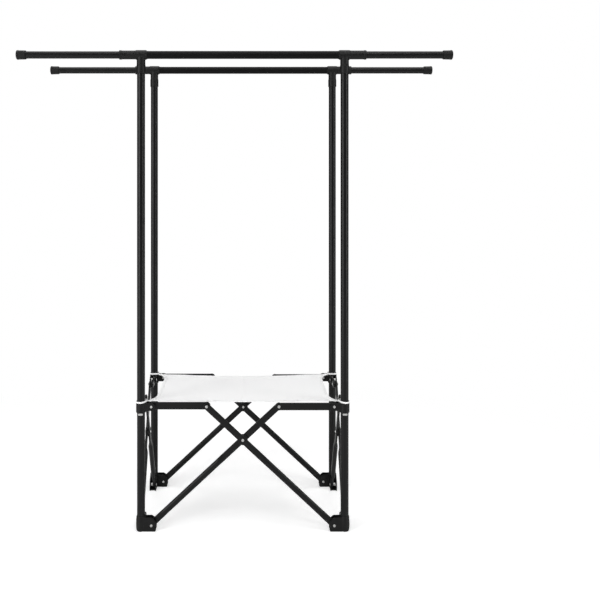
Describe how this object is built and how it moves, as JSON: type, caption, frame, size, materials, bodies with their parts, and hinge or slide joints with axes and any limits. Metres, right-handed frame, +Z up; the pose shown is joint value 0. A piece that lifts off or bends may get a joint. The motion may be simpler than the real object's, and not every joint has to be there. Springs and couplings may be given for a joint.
{
  "type": "clothes rack",
  "caption": "Folding garment rack: posts with sliding hanging rails on top, scissor frames between boots and collars, and a cloth shelf tied at the collars.",
  "frame": {"origin": "on the floor, under the middle of the whole rack's box", "axes": "+X along the rails to the right, +Y from front to back, +Z up"},
  "size_m": [1.382, 0.3724, 1.502],
  "materials": {
    "tube_paint": "black powder coat on steel tube, satin",
    "rail_paint": "black powder coat on thin steel tube, satin",
    "black_plastic": "black moulded polypropylene, fine matt texture",
    "rivet_steel": "zinc-plated steel, satin",
    "shelf_cloth": "white woven polyester, plain weave",
    "shelf_tape": "white woven edge tape"
  },
  "bodies": {
    "frame_front_left": {"post_fl": "tube_paint", "foot_fl": "black_plastic", "collar_fl": "black_plastic", "tee_fl": "black_plastic", "rivets_fl": "rivet_steel", "loop_fl": "shelf_tape"},
    "lock_screw_fl": {"lock_screw_fl": "black_plastic"},
    "frame_front_right": {"post_fr": "tube_paint", "foot_fr": "black_plastic", "collar_fr": "black_plastic", "tee_fr": "black_plastic", "rivets_fr": "rivet_steel", "loop_fr": "shelf_tape"},
    "lock_screw_fr": {"lock_screw_fr": "black_plastic"},
    "frame_rear_left": {"post_rl": "tube_paint", "foot_rl": "black_plastic", "collar_rl": "black_plastic", "tee_rl": "black_plastic", "rivets_rl": "rivet_steel", "loop_rl": "shelf_tape"},
    "lock_screw_rl": {"lock_screw_rl": "black_plastic"},
    "frame_rear_right": {"post_rr": "tube_paint", "foot_rr": "black_plastic", "collar_rr": "black_plastic", "tee_rr": "black_plastic", "rivets_rr": "rivet_steel", "loop_rr": "shelf_tape"},
    "lock_screw_rr": {"lock_screw_rr": "black_plastic"},
    "front_bar_left": {"front_bar_left": "tube_paint", "cross_rivet_front": "rivet_steel"},
    "front_bar_right": {"front_bar_right": "tube_paint"},
    "rear_bar_left": {"rear_bar_left": "tube_paint", "cross_rivet_rear": "rivet_steel"},
    "rear_bar_right": {"rear_bar_right": "tube_paint"},
    "left_bar_front": {"left_bar_front": "tube_paint", "cross_rivet_left": "rivet_steel"},
    "left_bar_rear": {"left_bar_rear": "tube_paint"},
    "right_bar_front": {"right_bar_front": "tube_paint", "cross_rivet_right": "rivet_steel"},
    "right_bar_rear": {"right_bar_rear": "tube_paint"},
    "front_link_left": {"front_link_left": "tube_paint"},
    "front_link_right": {"front_link_right": "tube_paint"},
    "rear_link_left": {"rear_link_left": "tube_paint"},
    "rear_link_right": {"rear_link_right": "tube_paint"},
    "left_link_front": {"left_link_front": "tube_paint"},
    "left_link_rear": {"left_link_rear": "tube_paint"},
    "right_link_front": {"right_link_front": "tube_paint"},
    "right_link_rear": {"right_link_rear": "tube_paint"},
    "front_rail": {"front_rail": "rail_paint"},
    "rear_rail": {"rear_rail": "rail_paint"},
    "front_wing_left": {"front_wing_left": "rail_paint", "cap_fl": "black_plastic"},
    "front_wing_right": {"front_wing_right": "rail_paint", "cap_fr": "black_plastic"},
    "rear_wing_left": {"rear_wing_left": "rail_paint", "cap_rl": "black_plastic"},
    "rear_wing_right": {"rear_wing_right": "rail_paint", "cap_rr": "black_plastic"},
    "shelf_left": {"shelf_left": "shelf_cloth"},
    "shelf_right": {"shelf_right": "shelf_cloth"}
  },
  "joints": [
    {"name": "fold", "type": "hinge", "parent": "frame_front_left", "child": "front_bar_left", "pos_m": [-0.269, -0.17, 0.018], "axis": [0, -1, 0], "range_deg": [0, 41.1]},
    {"name": "front_crossing", "type": "hinge", "parent": "front_bar_left", "child": "front_bar_right", "pos_m": [0.0165, -0.17, 0.2831], "axis": [0, 1, 0], "range_deg": [0, 82.2]},
    {"name": "front_right_foot_pin", "type": "hinge", "parent": "front_bar_right", "child": "frame_front_right", "pos_m": [0.302, -0.17, 0.018], "axis": [0, -1, 0], "range_deg": [0, 41.11]},
    {"name": "left_foot_pin", "type": "hinge", "parent": "frame_front_left", "child": "left_bar_front", "pos_m": [-0.302, -0.137, 0.018], "axis": [1, 0, 0], "range_deg": [0, 21.25]},
    {"name": "left_crossing", "type": "hinge", "parent": "left_bar_front", "child": "left_bar_rear", "pos_m": [-0.302, 0, 0.2511], "axis": [-1, 0, 0], "range_deg": [0, 42.5]},
    {"name": "rear_left_foot_pin", "type": "hinge", "parent": "left_bar_rear", "child": "frame_rear_left", "pos_m": [-0.302, 0.137, 0.018], "axis": [1, 0, 0], "range_deg": [0, 21.25]},
    {"name": "rear_foot_pin", "type": "hinge", "parent": "frame_rear_left", "child": "rear_bar_left", "pos_m": [-0.269, 0.17, 0.018], "axis": [0, -1, 0], "range_deg": [0, 41.11]},
    {"name": "rear_crossing", "type": "hinge", "parent": "rear_bar_left", "child": "rear_bar_right", "pos_m": [0.0165, 0.17, 0.2831], "axis": [0, 1, 0], "range_deg": [0, 82.2]},
    {"name": "rear_right_foot_pin", "type": "hinge", "parent": "rear_bar_right", "child": "frame_rear_right", "pos_m": [0.302, 0.17, 0.018], "axis": [0, -1, 0], "range_deg": [0, 41.11]},
    {"name": "right_foot_pin", "type": "hinge", "parent": "frame_front_right", "child": "right_bar_front", "pos_m": [0.335, -0.137, 0.018], "axis": [1, 0, 0], "range_deg": [0, 21.25]},
    {"name": "right_crossing", "type": "hinge", "parent": "right_bar_front", "child": "right_bar_rear", "pos_m": [0.335, 0, 0.2511], "axis": [-1, 0, 0], "range_deg": [0, 42.5]},
    {"name": "front_link_left_pin", "type": "hinge", "parent": "frame_front_left", "child": "front_link_left", "pos_m": [-0.269, -0.17, 0.388], "axis": [0, -1, 0], "range_deg": [0, 81.78]},
    {"name": "front_link_right_pin", "type": "hinge", "parent": "frame_front_right", "child": "front_link_right", "pos_m": [0.302, -0.17, 0.388], "axis": [0, 1, 0], "range_deg": [0, 81.78]},
    {"name": "rear_link_left_pin", "type": "hinge", "parent": "frame_rear_left", "child": "rear_link_left", "pos_m": [-0.269, 0.17, 0.388], "axis": [0, -1, 0], "range_deg": [0, 81.78]},
    {"name": "rear_link_right_pin", "type": "hinge", "parent": "frame_rear_right", "child": "rear_link_right", "pos_m": [0.302, 0.17, 0.388], "axis": [0, 1, 0], "range_deg": [0, 81.78]},
    {"name": "left_link_front_pin", "type": "hinge", "parent": "frame_front_left", "child": "left_link_front", "pos_m": [-0.302, -0.137, 0.388], "axis": [1, 0, 0], "range_deg": [0, 71.62]},
    {"name": "left_link_rear_pin", "type": "hinge", "parent": "frame_rear_left", "child": "left_link_rear", "pos_m": [-0.302, 0.137, 0.388], "axis": [-1, 0, 0], "range_deg": [0, 71.62]},
    {"name": "right_link_front_pin", "type": "hinge", "parent": "frame_front_right", "child": "right_link_front", "pos_m": [0.335, -0.137, 0.388], "axis": [1, 0, 0], "range_deg": [0, 71.62]},
    {"name": "right_link_rear_pin", "type": "hinge", "parent": "frame_rear_right", "child": "right_link_rear", "pos_m": [0.335, 0.137, 0.388], "axis": [-1, 0, 0], "range_deg": [0, 71.62]},
    {"name": "shelf_left_fold", "type": "hinge", "parent": "frame_front_left", "child": "shelf_left", "pos_m": [-0.286, 0, 0.401], "axis": [0, -1, 0], "range_deg": [0, 78.98], "deforming": ["shelf_left"]},
    {"name": "shelf_right_fold", "type": "hinge", "parent": "frame_front_right", "child": "shelf_right", "pos_m": [0.319, 0, 0.401], "axis": [0, 1, 0], "range_deg": [0, 78.98], "deforming": ["shelf_right"]},
    {"name": "front_rail_slide", "type": "slide", "parent": "frame_front_left", "child": "front_rail", "axis": [1, 0, 0], "range_m": [-0.2447, 0]},
    {"name": "rear_rail_slide", "type": "slide", "parent": "frame_rear_left", "child": "rear_rail", "axis": [1, 0, 0], "range_m": [-0.2447, 0]},
    {"name": "front_wing_left_slide", "type": "slide", "parent": "front_rail", "child": "front_wing_left", "axis": [-1, 0, 0], "range_m": [-0.22, 0.05]},
    {"name": "front_wing_right_slide", "type": "slide", "parent": "front_rail", "child": "front_wing_right", "axis": [1, 0, 0], "range_m": [-0.22, 0.05]},
    {"name": "rear_wing_left_slide", "type": "slide", "parent": "rear_rail", "child": "rear_wing_left", "axis": [-1, 0, 0], "range_m": [-0.22, 0.05]},
    {"name": "rear_wing_right_slide", "type": "slide", "parent": "rear_rail", "child": "rear_wing_right", "axis": [1, 0, 0], "range_m": [-0.22, 0.05]},
    {"name": "lock_screw_fl_turn", "type": "hinge", "parent": "frame_front_left", "child": "lock_screw_fl", "pos_m": [-0.354, -0.18315, 1.487], "axis": [0, -1, 0], "range_deg": [0, 180]},
    {"name": "lock_screw_fr_turn", "type": "hinge", "parent": "frame_front_right", "child": "lock_screw_fr", "pos_m": [0.387, -0.18315, 1.487], "axis": [0, -1, 0], "range_deg": [0, 180]},
    {"name": "lock_screw_rl_turn", "type": "hinge", "parent": "frame_rear_left", "child": "lock_screw_rl", "pos_m": [-0.354, 0.18315, 1.487], "axis": [0, 1, 0], "range_deg": [0, 180]},
    {"name": "lock_screw_rr_turn", "type": "hinge", "parent": "frame_rear_right", "child": "lock_screw_rr", "pos_m": [0.387, 0.18315, 1.487], "axis": [0, 1, 0], "range_deg": [0, 180]}
  ],
  "couplings": [
    {"joint": "front_crossing", "follows": "fold", "ratio": 2},
    {"joint": "front_right_foot_pin", "follows": "fold", "ratio": 1},
    {"joint": "left_foot_pin", "follows": "fold", "ratio": 0.5169},
    {"joint": "left_crossing", "follows": "fold", "ratio": 1.0338},
    {"joint": "rear_left_foot_pin", "follows": "fold", "ratio": 0.5169},
    {"joint": "rear_foot_pin", "follows": "fold", "ratio": 1},
    {"joint": "rear_crossing", "follows": "fold", "ratio": 2},
    {"joint": "rear_right_foot_pin", "follows": "fold", "ratio": 1},
    {"joint": "right_foot_pin", "follows": "fold", "ratio": 0.5169},
    {"joint": "right_crossing", "follows": "fold", "ratio": 1.0338},
    {"joint": "front_link_left_pin", "follows": "fold", "ratio": 1.9896},
    {"joint": "front_link_right_pin", "follows": "fold", "ratio": 1.9896},
    {"joint": "rear_link_left_pin", "follows": "fold", "ratio": 1.9896},
    {"joint": "rear_link_right_pin", "follows": "fold", "ratio": 1.9896},
    {"joint": "left_link_front_pin", "follows": "fold", "ratio": 1.7423},
    {"joint": "left_link_rear_pin", "follows": "fold", "ratio": 1.7423},
    {"joint": "right_link_front_pin", "follows": "fold", "ratio": 1.7423},
    {"joint": "right_link_rear_pin", "follows": "fold", "ratio": 1.7423},
    {"joint": "shelf_left_fold", "follows": "fold", "ratio": 1.9215},
    {"joint": "shelf_right_fold", "follows": "fold", "ratio": 1.9215},
    {"joint": "front_rail_slide", "follows": "fold", "m_per_rad": -0.34103},
    {"joint": "rear_rail_slide", "follows": "fold", "m_per_rad": -0.34103}
  ]
}
